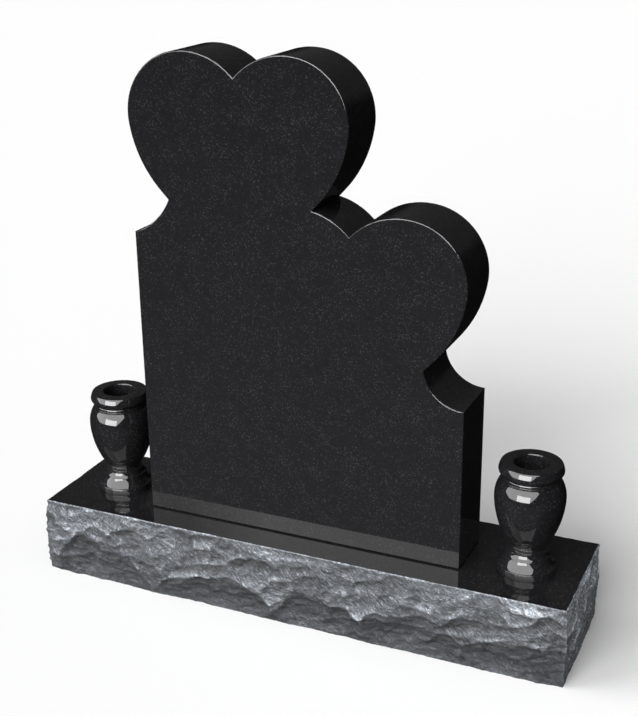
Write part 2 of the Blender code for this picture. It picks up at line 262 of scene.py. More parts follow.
def rockGranite(grain):
    look = rockLook
    material, tree, shader = newMaterial("rockPitchedGranite")
    stone = placeGrain(tree, grain, look)
    measure = addNode(tree, "ShaderNodeAttribute", attribute_name="sheetMeasure").outputs["Vector"]
    wander = addNode(tree, "ShaderNodeTexNoise",
                     {"Vector": measure, "Scale": look["wanderScale"], "Detail": 2.0}, noise_dimensions="2D")
    push = addNode(tree, "ShaderNodeVectorMath",
                   {0: wander.outputs["Color"], 1: (0.5, 0.5, 0.5)}, operation="SUBTRACT")
    push = addNode(tree, "ShaderNodeVectorMath",
                   {0: push.outputs[0], "Scale": look["wander"]}, operation="SCALE")
    moved = addNode(tree, "ShaderNodeVectorMath",
                    {0: measure, 1: push.outputs[0]}, operation="ADD").outputs[0]
    streaks = []
    for turn in look["streakTurns"]:
        laid = addNode(tree, "ShaderNodeMapping",
                       {"Vector": moved, "Rotation": (0, 0, radians(turn)),
                        "Scale": look["streakSize"] + (1,)}, vector_type="TEXTURE")
        streak = addNode(tree, "ShaderNodeTexNoise",
                         {"Vector": laid.outputs[0], "Scale": 1.0, "Detail": 2.5, "Roughness": 0.85},
                         noise_dimensions="2D")
        streaks.append(streak.outputs["Fac"])
    patches = addNode(tree, "ShaderNodeTexNoise",
                      {"Vector": measure, "Scale": look["patchScale"], "Detail": 1.0},
                      noise_dimensions="2D").outputs["Fac"]
    steep = addRange(tree, patches, *look["patchEdge"])
    first = addMath(tree, "MULTIPLY", streaks[0], addMath(tree, "SUBTRACT", 1.0, steep))
    fibre = addMath(tree, "MULTIPLY_ADD", streaks[1], steep, first)
    # Painted light and shade from the sheet, with the fibres' own streaks, sets how much lighter or darker
    # the stone's colour is
    tone = addNode(tree, "ShaderNodeAttribute", attribute_name="paintedRockShading").outputs["Fac"]
    tone = addMath(tree, "MULTIPLY_ADD", addMath(tree, "SUBTRACT", fibre, 0.5), look["fibre"], tone)
    strength = addMath(tree, "POWER", look["contrast"], tone)
    colour = addNode(tree, "ShaderNodeVectorMath",
                     {0: stone.outputs["Color"], "Scale": strength}, operation="SCALE")
    tree.links.new(colour.outputs[0], shader.inputs["Base Color"])
    bump = addNode(tree, "ShaderNodeBump",
                   {"Height": fibre, "Strength": look["bumpStrength"], "Distance": look["bumpDepth"]})
    tree.links.new(bump.outputs["Normal"], shader.inputs["Normal"])
    dullest = look["roughness"] + look["roughnessSpread"]
    brightest = look["roughness"] - look["roughnessSpread"]
    rough = addRange(tree, stone.outputs["Crystal"], 0.0, 1.0, dullest, brightest)
    tree.links.new(rough, shader.inputs["Roughness"])
    return material


sawnLook = {
    "crystalSize": 0.0016,
    "ground": (0.11, 0.112, 0.118, 1),
    "dark": (0.06, 0.061, 0.065, 1),
    "pale": (0.2, 0.2, 0.21, 1),
    "paleShare": 0.1,
    "mottle": 0.3,
    "strokeScale": 60.0,        # of the saw's marks
    "strokeBend": 1.5,
    "strokeDepth": 0.0005,
    "strokeStrength": 0.2,
    "roughness": 0.6,
}


def sawnGranite(grain):
    material, tree, shader = newMaterial("sawnGranite")
    stone = placeGrain(tree, grain, sawnLook)
    tree.links.new(stone.outputs["Color"], shader.inputs["Base Color"])
    place = addNode(tree, "ShaderNodeTexCoord").outputs["Object"]
    strokes = addNode(tree, "ShaderNodeTexWave",
                      {"Vector": place, "Scale": sawnLook["strokeScale"],
                       "Distortion": sawnLook["strokeBend"]})
    bump = addNode(tree, "ShaderNodeBump",
                   {"Height": strokes.outputs["Fac"], "Strength": sawnLook["strokeStrength"],
                    "Distance": sawnLook["strokeDepth"]})
    tree.links.new(bump.outputs["Normal"], shader.inputs["Normal"])
    shader.inputs["Roughness"].default_value = sawnLook["roughness"]
    return material


# Base: a sheet of fine squares wrapped round the block, moved out and in to the broken rock,
# then closed with a polished top and a sawn underside
baseBlock = {
    "width": 1.067,
    "depth": 0.254,
    "height": 0.1525,
    "frontStep": 0.0019,
    "endStep": 0.0025,
    "backStep": 0.0033,
    "rows": 76,
    "chipDepth": 0.0014,        # of the spalls along the top's arris
    "chipWidth": 0.0016,
    "chipSizes": (0.011, 0.035),
    "chipRange": (0.25, 1.5),   # least, and what chance adds
    "strength": {"left": 0.5, "front": 1.0, "right": 0.5, "back": 0.4},
    "cornerReach": 0.045,
    "cornerShare": 0.5,
    "footShare": 0.15,
    "topBand": 0.015,
    "footBand": 0.030,
    "bulge": 0.015,
    "bulgeDrop": 0.095,         # from the top to where the side bulges most
    "bulgeTurn": 1.3,           # how far past it the side turns in again
    "footBulge": 0.006,
    "smoothAngle": 38,
    "merge": 0.00001,           # points closer than this are one
}
# Painted light and shade on the broken stone, by slope, height over its surroundings, facet, depth and side:
# lighter where it faces up, stands proud or lies high, darker in hollows
rockPaintedShading = {
    "broadUp": 0.55,
    "broadAlong": 0.12,
    "broadMiddle": 0.15,
    "fineUp": 0.10,
    "fineAlong": 0.04,
    "proud": 200.0,
    # By each bowl's own chance, and painted shade by the place in it, lighter low in a bowl where it faces
    # up
    "facets": {"broad": (0.16, 0.0), "small": (0.42, 0.30), "chip": (0.16, 0.10), "flake": (0.20, 0.10)},
    "flakeShares": (0.25, 0.75),  # everywhere, and more towards the top
    "flakeWarp": 1.3,
    # Lightness and width of the painted highlight on the ridges between bowls
    "ridges": {"small": (0.22, 0.06), "chip": (0.13, 0.08), "flake": (0.10, 0.1)},
    "smallRidge": 0.35,         # share of the small ridges on a broad facet of middle lightness
    "scar": (0.20, 0.10),       # how dark the painted shade in a hollow is, evenly and in patches
    "scarEdge": 0.0015,
    "scarSmooth": 0.65,
    # Painted highlight on the ledges above the hollows
    "ledge": 0.45,
    "ledgeEdge": 0.0006,
    "ledgeReach": 0.003,
    "patch": (0.05, 0.03, 92),  # size along and down, seed
    # Painted light: the rock is lighter towards the top
    "highReach": 0.095,
    "high": 0.10,
    "sideShares": (0.45, 0.55),
    "contrast": 1.3,
    # Painted highlight on the two rows along the top arris
    "arris": 0.85,
    "arrisSideLightShare": 0.2,
    # Painted light on each side of the rock, most on the shaded right end
    "paintedSideLight": {"left": 0.1, "front": 0.0, "right": 1.0, "back": 0.1},
}
broadBreaks = {"depth": 0.012, "length": 0.130, "height": 0.075, "lean": 0.5, "seed": 21}
smallBreaks = {"depth": 0.007, "length": 0.050, "height": 0.028, "lean": 0.6, "seed": 5}
scarBreaks = {"depth": 0.006, "length": 0.090, "height": 0.050, "lean": -0.3, "seed": 41}
chipBreaks = {"depth": 0.0034, "length": 0.022, "height": 0.013, "lean": 0.5, "seed": 6}
flakeBreaks = {"length": 0.034, "height": 0.0085, "lean": -0.25, "seed": 61}
grainBreaks = {"depth": 0.0015, "length": 0.009, "height": 0.0065, "lean": 0.2, "seed": 7}
scars = {"spacing": 0.125, "depth": 0.016, "undercut": 0.003, "halfWidth": (0.075, 0.130),
         "top": (0.050, 0.108), "seed": 12}
warps = ((0.026, 0.020, 0.050, 3), (0.010, 0.008, 0.016, 4))
fineWarp = (0.008, 0.007, 0.009, 13)
crushed = {"depth": 0.0008, "along": 0.003, "down": 0.0025, "seed": 15, "topBand": 0.004,
           "sideShares": (0.55, 0.45)}
# A bowl's size, least and what chance adds, how far chance raises its floor, the highest level
# it reaches, and the level that lies flush with the block
bowl = {"along": (0.8, 0.7), "down": (0.75, 0.5), "raised": 0.5, "highest": 1.2, "flush": 0.45}


def smoothNoise(x, y, seed):
    table = np.random.RandomState(seed).rand(64, 64)
    column = np.floor(x).astype(int)
    row = np.floor(y).astype(int)
    easeX = (x - column) ** 2 * (3 - 2 * (x - column))
    easeY = (y - row) ** 2 * (3 - 2 * (y - row))
    value = 0
    for i, shareX in ((0, 1 - easeX), (1, easeX)):
        for j, shareY in ((0, 1 - easeY), (1, easeY)):
            value = value + shareX * shareY * table[(column + i) % 64, (row + j) % 64]
    return value


def shifted(along, down, warp):
    reachAlong, reachDown, size, seed = warp
    return (reachAlong * (smoothNoise(along / size, down / size, seed) - 0.5),
            reachDown * (smoothNoise(along / size, down / size, seed + 5) - 0.5))


def shellBowls(along, down, kind):
    # The nine bowls round each point, one by one: the bowl's chances, how far below its middle
    # the point is, and the bowl's level there
    table = np.random.RandomState(kind["seed"]).rand(64, 64, 5)
    x = (along + kind["lean"] * down) / kind["length"]
    y = down / kind["height"]
    column = np.floor(x).astype(int)
    row = np.floor(y).astype(int)
    long, moreLong = bowl["along"]
    high, moreHigh = bowl["down"]
    for i in (-1, 0, 1):
        for j in (-1, 0, 1):
            chance = table[(column + i) % 64, (row + j) % 64]
            gapX = (x - (column + i + chance[..., 0])) / (long + moreLong * chance[..., 3])
            gapY = (y - (row + j + chance[..., 1])) / (high + moreHigh * chance[..., 4])
            yield chance, gapY, gapX * gapX + gapY * gapY + bowl["raised"] * chance[..., 2]


def shellBreaks(along, down, kind):
    # Shallow bowls of many sizes: the deepest wins, so neighbours meet in curved ridges
    lowest = np.full(along.shape, np.inf)
    for _, _, level in shellBowls(along, down, kind):
        lowest = np.minimum(lowest, level)
    return kind["depth"] * (np.clip(lowest, 0, bowl["highest"]) - bowl["flush"])


def scarsFromBelow(along, down):
    # Hollows that lean back towards the underside, each below an arch
    table = np.random.RandomState(scars["seed"]).rand(64, 3)
    height = baseBlock["height"] - down
    column = np.floor(along / scars["spacing"]).astype(int)
    lowest = np.full(along.shape, np.inf)
    for i in (-2, -1, 0, 1, 2):
        chance = table[(column + i) % 64]
        middle = (column + i + 0.15 + 0.7 * chance[..., 0]) * scars["spacing"]
        narrow, wide = scars["halfWidth"]
        low, high = scars["top"]
        halfWidth = narrow + (wide - narrow) * chance[..., 1]
        top = low + (high - low) * chance[..., 2]
        arch = height / top + ((along - middle) / halfWidth) ** 2
        lowest = np.minimum(lowest, scars["depth"] * arch - scars["undercut"])
    return lowest


def rockRelief(along, down, strength, cornerGap):
    # How far the rock stands out from the block's side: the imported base's own breaks,
    # with chips and broken grain over them
    block = baseBlock
    moves = [shifted(along, down, warp) for warp in warps]
    at = along + sum(move[0] for move in moves)
    below = down + sum(move[1] for move in moves)
    turn = np.clip(down / block["bulgeDrop"], 0, block["bulgeTurn"])
    rock = block["bulge"] * np.sin(pi / 2 * turn) + shellBreaks(at, below, broadBreaks)
    scar = scarsFromBelow(at, below) + shellBreaks(at, below, scarBreaks)
    overScar = rock - scar
    rock = np.minimum(rock, scar) + shellBreaks(at, below, smallBreaks)
    nearTop = np.clip(down / block["topBand"], 0, 1)
    nearFoot = np.clip((block["height"] - down) / block["footBand"], 0, 1)
    free = nearTop * (block["footShare"] + (1 - block["footShare"]) * nearFoot)
    foot = block["footBulge"] * down / block["height"] * (1 - nearFoot)
    inner = np.clip(cornerGap / block["cornerReach"], 0, 1)
    broad = (rock * free + foot) * strength * (block["cornerShare"] + (1 - block["cornerShare"]) * inner)
    moveAlong, moveDown = shifted(along, down, fineWarp)
    fineAt = along + moveAlong
    fineBelow = down + moveDown
    fine = shellBreaks(fineAt, fineBelow, chipBreaks) + shellBreaks(fineAt, fineBelow, grainBreaks)
    rough = smoothNoise(along / crushed["along"], down / crushed["down"], crushed["seed"])
    fine = fine + crushed["depth"] * (rough - 0.5)
    belowArris = np.clip(down / crushed["topBand"], 0, 1)
    everywhere, bySide = crushed["sideShares"]
    return broad + fine * belowArris * (everywhere + bySide * strength), broad, overScar


def shellFacets(along, down, kind):
    # For each point of shellBreaks: its bowl's own chance, place down the bowl, way to the next bowl
    lowest = np.full(along.shape, np.inf)
    second = lowest.copy()
    own = np.zeros(along.shape)
    place = np.zeros(along.shape)
    for chance, gapDown, level in shellBowls(along, down, kind):
        nearer = level < lowest
        second = np.where(nearer, lowest, np.minimum(second, level))
        own = np.where(nearer, (7.13 * chance[..., 0] + 3.71 * chance[..., 3]) % 1 - 0.5, own)
        place = np.where(nearer, gapDown, place)
        lowest = np.minimum(lowest, level)
    return own, place, second - lowest


def blurred(sheet, passes):
    for _ in range(passes):
        sheet = (2 * sheet + np.roll(sheet, 1, 1) + np.roll(sheet, -1, 1)
                 + np.vstack([sheet[:1], sheet[:-1]]) + np.vstack([sheet[1:], sheet[-1:]])) / 6
    return sheet


def paintedRockShading(along, down, broad, fine, overScar, strength):
    # Painted light and shade on the broken stone: lighter on ledges, ridges, up-facing slopes, proud places
    # and towards the top, darker in hollows
    t = rockPaintedShading
    stepDown = baseBlock["height"] / baseBlock["rows"]
    stepAlong = np.maximum(np.gradient(along, axis=1), 0.0005)
    broadSoft = blurred(broad, 1)
    fineSoft = blurred(fine, 1)
    # Painted light from above and from the left, by the slope of the broad and fine relief, and on proud
    # places
    tone = t["broadUp"] * (np.gradient(broadSoft, stepDown, axis=0) - t["broadMiddle"])
    tone = tone - t["broadAlong"] * np.gradient(broadSoft, axis=1) / stepAlong
    tone = tone + t["fineUp"] * np.gradient(fineSoft, stepDown, axis=0)
    tone = tone - t["fineAlong"] * np.gradient(fineSoft, axis=1) / stepAlong
    tone = tone + t["proud"] * (broadSoft - blurred(broad, 3))
    moves = [shifted(along, down, warp) for warp in warps]
    at = along + sum(move[0] for move in moves)
    below = down + sum(move[1] for move in moves)
    moveAlong, moveDown = shifted(along, down, fineWarp)
    flakeAlong = along + t["flakeWarp"] * moveAlong
    flakeDown = down + t["flakeWarp"] * moveDown
    scar = np.clip(overScar / t["scarEdge"], 0, 1)
    ledge = np.clip(-overScar / t["ledgeEdge"], 0, 1) * np.exp(np.clip(overScar, -1, 0) / t["ledgeReach"])
    patchAlong, patchDown, patchSeed = t["patch"]
    rough = smoothNoise(along / patchAlong, down / patchDown, patchSeed)
    high = np.clip(1 - down / t["highReach"], 0, 1)
    layers = {
        "broad": shellFacets(at, below, broadBreaks),
        "small": shellFacets(at, below, smallBreaks),
        "chip": shellFacets(along + moveAlong, down + moveDown, chipBreaks),
        "flake": shellFacets(flakeAlong, flakeDown, flakeBreaks),
    }
    # Facets: each bowl's own chance, painted shade by the place in it, and painted highlight on its ridges
    facets = 0
    for name, (own, place, _) in layers.items():
        byOwn, byPlace = t["facets"][name]
        share = t["flakeShares"][0] + t["flakeShares"][1] * high if name == "flake" else 1
        facets = facets + share * (byOwn * own + byPlace * place)
    onBroad = layers["broad"][0] + t["smallRidge"]
    for name, share in (("small", onBroad), ("chip", 1), ("flake", high)):
        light, width = t["ridges"][name]
        facets = facets + light * share * np.exp(-layers[name][2] / width)
    tone = tone + (1 - t["scarSmooth"] * scar) * facets
    evenly, inPatches = t["scar"]
    # Painted shade in the hollows, painted highlight on the ledges above them, and painted light towards the
    # top
    tone = tone - (evenly + inPatches * rough) * scar + t["ledge"] * ledge * rough + t["high"] * (high - 0.5)
    everywhere, bySide = t["sideShares"]
    return t["contrast"] * tone * (everywhere + bySide * strength)


def wrapSheet():
    # Columns of the sheet, anticlockwise from the back left corner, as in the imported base
    block = baseBlock
    halfX = block["width"] / 2
    halfY = block["depth"] / 2
    corners = [(-halfX, halfY), (-halfX, -halfY), (halfX, -halfY), (halfX, halfY)]
    outwards = [(-1, 0), (0, -1), (1, 0), (0, 1)]
    sides = ["left", "front", "right", "back"]
    steps = {"left": block["endStep"], "front": block["frontStep"],
             "right": block["endStep"], "back": block["backStep"]}
    columns = []
    run = 0.0
    for k, side in enumerate(sides):
        startX, startY = corners[k]
        endX, endY = corners[(k + 1) % 4]
        length = abs(endX - startX) + abs(endY - startY)
        count = ceil(length / steps[side])
        for i in range(count):
            share = i / count
            outX, outY = outwards[k]
            strength = block["strength"][side]
            # Painted light for this side, shared at the corners
            paintedSideLight = rockPaintedShading["paintedSideLight"][side]
            if i == 0:
                outX += outwards[k - 1][0]
                outY += outwards[k - 1][1]
                strength = (strength + block["strength"][sides[k - 1]]) / 2
                paintedSideLight = (paintedSideLight + rockPaintedShading["paintedSideLight"][sides[k - 1]]) / 2
            gap = min(share, 1 - share) * length
            columns.append((startX + share * (endX - startX), startY + share * (endY - startY),
                            outX, outY, run + share * length, strength, gap, paintedSideLight))
        run += length
    last = list(columns[0])
    last[4] = run
    return np.array(columns + [last])


def buildBase(polish, rock, sawn):
    block = baseBlock
    columns = wrapSheet()
    rows = block["rows"]
    bpy.ops.object.select_all(action="DESELECT")
    bpy.ops.mesh.primitive_grid_add(x_subdivisions=len(columns) - 1, y_subdivisions=rows, size=1)
    piece = bpy.context.object
    piece.name = "pitchedBase"
    flat = np.zeros(len(piece.data.vertices) * 3, np.float32)
    piece.data.vertices.foreach_get("co", flat)
    flat = flat.reshape(-1, 3)
    column = np.rint((flat[:, 0] + 0.5) * (len(columns) - 1)).astype(int)
    row = rows - np.rint((flat[:, 1] + 0.5) * rows).astype(int)

    x, y, outX, outY, along, strength, gap, paintedSideLight = [np.tile(line, (rows + 1, 1)) for line in columns.T]
    down = np.tile(block["height"] * np.arange(rows + 1.0)[:, None] / rows, (1, len(columns)))
    relief, broad, overScar = rockRelief(along, down, strength, gap)
    # Painted light and shade on the rock, with the shaded ends painted lighter
    tone = paintedSideLight + paintedRockShading(along, down, broad, relief - broad, overScar, strength)
    small, large = block["chipSizes"]
    atTop = 0 * along[0]
    chips = smoothNoise(along[0] / small, atTop, 31) * smoothNoise(along[0] / large, atTop, 32)
    chips = block["chipRange"][0] + block["chipRange"][1] * chips
    chips[-1] = chips[0]
    down[1] = block["chipDepth"] * chips
    relief[1] = 0.0
    relief[0] = -block["chipWidth"] * chips
    # Painted highlight along the top arris
    tone[:2] = rockPaintedShading["arrisSideLightShare"] * paintedSideLight[:2] + rockPaintedShading["arris"]
    relief[:, -1] = relief[:, 0]  # so that the wrapped sheet closes at its seam
    tone[:, -1] = tone[:, 0]
    px = np.clip(x + outX * relief, baseLow.x, baseHigh.x)
    py = np.clip(y + outY * relief, baseLow.y, baseHigh.y)
    setPoints(piece, np.stack([px, py, block["height"] - down], 2)[row, column])

    attribute = piece.data.attributes.new("paintedRockShading", "FLOAT", "POINT")
    attribute.data.foreach_set("value", tone[row, column].astype(np.float32))
    # The sheet's own measure, in metres along and down, for the grain of the break
    corners = np.zeros(len(piece.data.loops), np.int32)
    piece.data.loops.foreach_get("vertex_index", corners)
    measure = np.stack([along[row, column], down[row, column]], 1)[corners]
    piece.data.uv_layers.active.name = "sheetMeasure"
    piece.data.uv_layers.active.data.foreach_set("uv", measure.astype(np.float32).ravel())

    selectOnly(piece)
    bpy.ops.object.mode_set(mode="EDIT")
    bpy.ops.mesh.select_all(action="SELECT")
    bpy.ops.mesh.remove_doubles(threshold=block["merge"])
    for level in (block["height"], 0.0):
        bpy.ops.mesh.select_all(action="DESELECT")
        bpy.ops.object.mode_set(mode="OBJECT")
        for vertex in piece.data.vertices:
            vertex.select = abs(vertex.co.z - level) < block["merge"]
        bpy.ops.object.mode_set(mode="EDIT")
        bpy.ops.mesh.select_mode(type="VERT")
        bpy.ops.mesh.edge_face_add()
    bpy.ops.mesh.select_all(action="SELECT")
    bpy.ops.mesh.normals_make_consistent(inside=False)
    bpy.ops.object.mode_set(mode="OBJECT")

    for material in (rock, polish, sawn):
        piece.data.materials.append(material)
    for face in piece.data.polygons:
        if len(face.vertices) > 4:
            face.material_index = 1 if face.normal.z > 0 else 2
    bpy.ops.object.shade_smooth_by_angle(angle=radians(block["smoothAngle"]))
    level = block["height"] - block["merge"]
    heights = [vertex.co.z for vertex in piece.data.vertices]
    selectEdges(piece, lambda edge: min(heights[i] for i in edge.vertices) > level)
    bpy.ops.mesh.mark_sharp()
    bpy.ops.object.mode_set(mode="OBJECT")
    standFor(piece, "base")
    print("base:", len(piece.data.polygons), "faces")
    return piece


# Tablet: a slab with a cove cut in each shoulder, joined with two equal hearts
tabletShape = {
    "leftShoulder": 0.568,      # heights above the tablet's foot
    "rightShoulder": 0.310,
    "cleftAboveShoulder": 0.290,
    "leftCoveRadius": 0.1225,
    "leftCoveOutset": 0.037,
    "leftCoveEnd": -16,         # degrees, inside the tall heart
    "rightCoveRadius": 0.076,
    "heartShare": 2 / 3,        # of the tablet's width
    "heartHeading": 47.15,      # degrees up from level at the cleft
    "heartArcs": ((0.611, 60.2), (0.535, 85.2), (1.012, 35.3)),  # radius share, turn
    "turnStep": 2.0,            # degrees a point on the curves
    "arris": 0.0032,
    "joint": 0.0028,            # height of the eased foot that shows as a dark joint
    "near": 0.0001,             # points closer than this are one
    "faceSlack": 0.001,         # how far apart in depth the ends of a face's edge may be
    "weldAngle": 0.4,           # degrees between faces that become one
    "smoothAngle": 30,
    "normalWeight": 80,
}


def arcPoints(centre, radius, start, turn):
    steps = max(2, ceil(abs(degrees(turn)) / tabletShape["turnStep"]))
    return [(centre[0] + radius * cos(start + turn * i / steps),
             centre[1] + radius * sin(start + turn * i / steps)) for i in range(steps + 1)]


def heartOutline(middle, cleft, width):
    # Right half from the cleft over the lobe to the point, then its mirror image
    points = [(0.0, 0.0)]
    heading = radians(tabletShape["heartHeading"])
    for radius, turn in tabletShape["heartArcs"]:
        x, y = points[-1]
        centre = (x + radius * sin(heading), y - radius * cos(heading))
        start = atan2(y - centre[1], x - centre[0])
        points += arcPoints(centre, radius, start, -radians(turn))[1:]
        heading -= radians(turn)
    x, y = points[-1]
    points.append((0.0, y - x * tan(heading)))
    scale = width / 2 / max(point[0] for point in points)
    right = [(px * scale, py * scale) for px, py in points]
    left = [(-px, py) for px, py in right[1:-1]]
    return [(middle + px, cleft + py) for px, py in right + left[::-1]]


def slabOutline(width):
    shape = tabletShape
    side = width / 2
    rightTop = shape["rightShoulder"] + shape["rightCoveRadius"]
    rightCove = arcPoints((side, rightTop), shape["rightCoveRadius"], -pi / 2, -pi / 2)
    rise = sqrt(shape["leftCoveRadius"] ** 2 - shape["leftCoveOutset"] ** 2)
    leftCentre = (-side - shape["leftCoveOutset"], shape["leftShoulder"] + rise)
    leftStart = atan2(-rise, shape["leftCoveOutset"])
    leftTurn = radians(shape["leftCoveEnd"]) - leftStart
    leftCove = arcPoints(leftCentre, shape["leftCoveRadius"], leftStart, leftTurn)
    leftTop = leftCove[-1][1]
    outline = [(-side, 0.0), (side, 0.0)] + rightCove
    return outline + [(0.0, rightTop), (0.0, leftTop)] + leftCove[::-1]


def cutPlate(name, outline):
    # A disc of as many points as the outline, moved onto it and drawn out to the slab's thickness
    bpy.ops.object.select_all(action="DESELECT")
    bpy.ops.mesh.primitive_circle_add(vertices=len(outline), fill_type="NGON")
    plate = bpy.context.object
    plate.name = name
    setPoints(plate, [(x, tabletLow.y, tabletLow.z + z) for x, z in outline])
    bpy.ops.object.mode_set(mode="EDIT")
    bpy.ops.mesh.select_all(action="SELECT")
    bpy.ops.mesh.extrude_region_move(
        TRANSFORM_OT_translate={"value": (0, tabletHigh.y - tabletLow.y, 0)})
    bpy.ops.mesh.select_all(action="SELECT")
    bpy.ops.mesh.normals_make_consistent(inside=False)
    bpy.ops.object.mode_set(mode="OBJECT")
    return plate


def outlineEdge(ends, level):
    # An edge of the front or back face, above the joint
    alongFace = abs(ends[0].y - ends[1].y) < tabletShape["faceSlack"]
    onFace = min(abs(ends[0].y - tabletLow.y), abs(ends[0].y - tabletHigh.y)) < tabletShape["near"]
    return alongFace and onFace and max(end.z for end in ends) > level


def buildTablet(polish):
    shape = tabletShape
    width = tabletHigh.x - tabletLow.x
    heart = width * shape["heartShare"]
    shift = (width - heart) / 2
    piece = cutPlate("heartTablet", slabOutline(width))
    upperCleft = shape["leftShoulder"] + shape["cleftAboveShoulder"]
    lowerCleft = shape["rightShoulder"] + shape["cleftAboveShoulder"]
    for name, middle, cleft in (("upperHeart", -shift, upperCleft), ("lowerHeart", shift, lowerCleft)):
        plate = cutPlate(name, heartOutline(middle, cleft, heart))
        applyModifier(piece, "BOOLEAN", operation="UNION", solver="EXACT", object=plate)
        bpy.data.objects.remove(plate)

    selectOnly(piece)
    bpy.ops.object.mode_set(mode="EDIT")
    bpy.ops.mesh.select_all(action="SELECT")
    bpy.ops.mesh.remove_doubles(threshold=shape["near"])
    bpy.ops.mesh.dissolve_limited(angle_limit=radians(shape["weldAngle"]))
    bpy.ops.object.mode_set(mode="OBJECT")
    level = tabletLow.z + shape["near"]
    heights = [vertex.co.z for vertex in piece.data.vertices]
    selectEdges(piece, lambda edge: max(heights[i] for i in edge.vertices) < level)
    bpy.ops.mesh.bevel(offset_type="OFFSET", offset=shape["joint"], segments=1, affect="EDGES")
    bpy.ops.object.mode_set(mode="OBJECT")
    level = tabletLow.z + shape["joint"] + shape["near"]
    places = [vertex.co.copy() for vertex in piece.data.vertices]
    selectEdges(piece, lambda edge: outlineEdge([places[i] for i in edge.vertices], level))
    bpy.ops.mesh.bevel(offset_type="WIDTH", offset=shape["arris"], segments=3, profile=0.5,
                       affect="EDGES", clamp_overlap=False)
    bpy.ops.mesh.select_mode(type="VERT")
    bpy.ops.mesh.select_all(action="SELECT")
    bpy.ops.mesh.normals_make_consistent(inside=False)
    bpy.ops.object.mode_set(mode="OBJECT")
    points = np.array([vertex.co for vertex in piece.data.vertices])
    setPoints(piece, np.clip(points, tabletLow, tabletHigh))
    bpy.ops.object.shade_smooth_by_angle(angle=radians(shape["smoothAngle"]))
    piece.data.materials.append(polish)
    applyModifier(piece, "WEIGHTED_NORMAL", keep_sharp=True, weight=shape["normalWeight"])
    standFor(piece, "tablet")
    print("tablet:", len(piece.data.polygons), "faces")
    return piece


# Vases: one profile, turned at each end of the base, in its order from the bore to the foot.
# A lean is how many degrees the surface faces up, a pull how far an end bows the curve
vaseShape = {
    "height": 0.212,
    "boreRadius": 0.0315,
    "boreDepth": 0.140,
    "lipRadius": 0.0032,
    "brimDrop": 0.0009,
    "brimLean": 42,
    "brimRound": 0.0065,
    "bandLeans": (21.4, 12.4),
    "bandHeight": 0.0086,
    "rimRadius": 0.0583,
    "rimHeight": 0.0228,
    "rollWidth": 0.0100,
    "neckRadius": 0.0495,
    "neckHeight": 0.0014,
    "ringRadius": 0.0528,
    "ringHeight": 0.0033,
    "ringLean": 17,
    "grooveRadius": 0.0515,
    "grooveHeight": 0.0020,
    "listelRadius": 0.0533,
    "listelHeight": 0.0009,
    "seatRadius": 0.0525,
    "seatHeight": 0.0022,
    "shoulderRadius": 0.0545,
    "bellyRadius": 0.0638,
    "bellyHeight": 0.1465,
    "bellyPulls": (0.32, 0.29),
    "waistRadius": 0.0330,
    "waistHeight": 0.0520,
    "waistLean": -40,
    "beadProud": 0.0008,
    "beadHeight": 0.0016,
    "filletRadius": 0.0372,
    "filletHeight": 0.0440,
    "filletEase": (0.0015, 0.0010),
    "filletBand": 0.0016,
    "upperLeans": (15.5, 52),
    "upperPulls": (0.55, 0.30),
    "stepRadius": 0.0426,
    "stepHeight": 0.0320,
    "stepBand": 0.0004,
    "lowerLeans": (19, 52),
    "lowerPulls": (0.30, 0.30),
    "lowerTop": 0.0412,
    "footRadius": 0.0541,
    "footWall": 0.0132,
    "footLand": 0.0016,
    "footChamfer": 0.0007,
    "edge": 0.0003,
    "sides": 112,
    "sharpAngle": 35,
    "smoothAngle": 40,
    "merge": (0.00002, 0.00001),  # points closer than this are one, before and after the edges are eased
}
# Straight steps to each curve of the profile
vaseSteps = {"lip": 8, "brim": 5, "band": 6, "roll": 18, "shoulder": 14, "belly": 26, "bead": 8, "upper": 14,
             "lower": 16, "foot": 4}


def turnedArc(centre, halfWidth, halfHeight, start, end, steps):
    return [(centre[0] + halfWidth * cos(start + (end - start) * i / steps),
             centre[1] + halfHeight * sin(start + (end - start) * i / steps)) for i in range(steps + 1)]


def bowedLine(first, last, leans, pulls, steps):
    # A curve from first down to last, with a lean and a pull at each end
    reach = sqrt((last[0] - first[0]) ** 2 + (last[1] - first[1]) ** 2)
    start, end = [radians(lean) for lean in leans]
    afterFirst = (first[0] + pulls[0] * reach * sin(start), first[1] - pulls[0] * reach * cos(start))
    beforeLast = (last[0] - pulls[1] * reach * sin(end), last[1] + pulls[1] * reach * cos(end))
    line = []
    for i in range(steps + 1):
        t = i / steps
        shares = ((1 - t) ** 3, 3 * t * (1 - t) ** 2, 3 * t * t * (1 - t), t ** 3)
        corners = (first, afterFirst, beforeLast, last)
        line.append(tuple(sum(share * corner[k] for share, corner in zip(shares, corners)) for k in (0, 1)))
    return line


